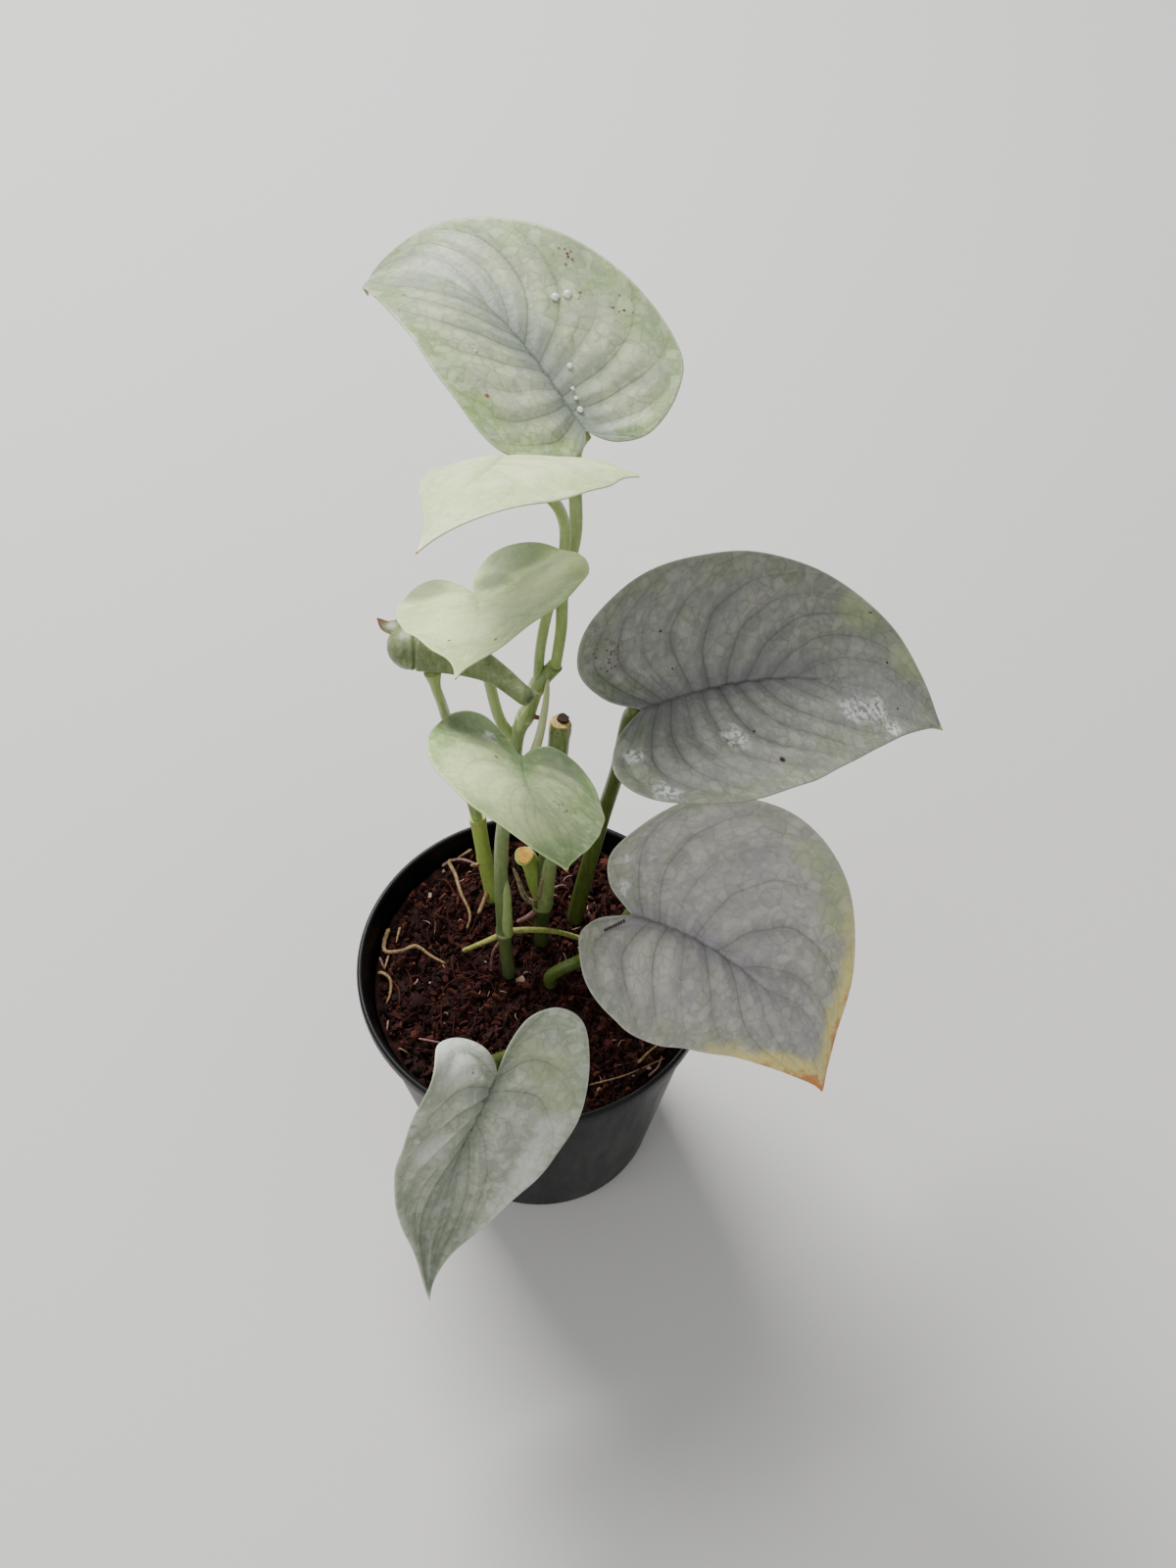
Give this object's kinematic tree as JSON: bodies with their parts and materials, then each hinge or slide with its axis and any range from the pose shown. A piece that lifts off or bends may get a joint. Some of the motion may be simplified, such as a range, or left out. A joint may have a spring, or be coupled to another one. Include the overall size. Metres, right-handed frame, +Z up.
{
  "type": "potted platinum scindapsus",
  "caption": "Potted climbing aroid with silver-grey heart-shaped leaves on green petioles, in a round black nursery pot of coarse bark mix.",
  "frame": {"origin": "on the pot's axis, at the underside of its floor, where the pot rests", "axes": "+Z up along the pot's axis; -Y towards the side that the lowest leaf hangs over; +X towards the two large dark leaves"},
  "size_m": [0.1716, 0.2054, 0.3051],
  "materials": {
    "pot_plastic": "satin black polypropylene, thin moulded wall",
    "potting_mix": "coarse dark red-brown coir and bark chips",
    "stem": "smooth olive green stem with ringed nodes",
    "root": "dry tan and yellow-green roots",
    "petiole": "smooth satin green leaf stalk",
    "leaf_blade": "silver-grey satin blade, darker green veins and margin"
  },
  "bodies": {
    "root": {"pot": "pot_plastic", "soil": "potting_mix", "stem_tall": "stem", "stem_left": "stem", "stem_centre": "stem", "root_left": "root", "root_right": "root", "petiole_top": "petiole", "petiole_pale": "petiole", "petiole_folded": "petiole", "petiole_young": "petiole", "petiole_heart": "petiole", "petiole_dark": "petiole", "petiole_yellowing": "petiole", "petiole_lowest": "petiole", "leaf_top": "leaf_blade", "leaf_pale": "leaf_blade", "leaf_folded": "leaf_blade", "leaf_young": "leaf_blade", "leaf_heart": "leaf_blade", "leaf_dark": "leaf_blade", "leaf_yellowing": "leaf_blade", "leaf_lowest": "leaf_blade"}
  },
  "joints": []
}
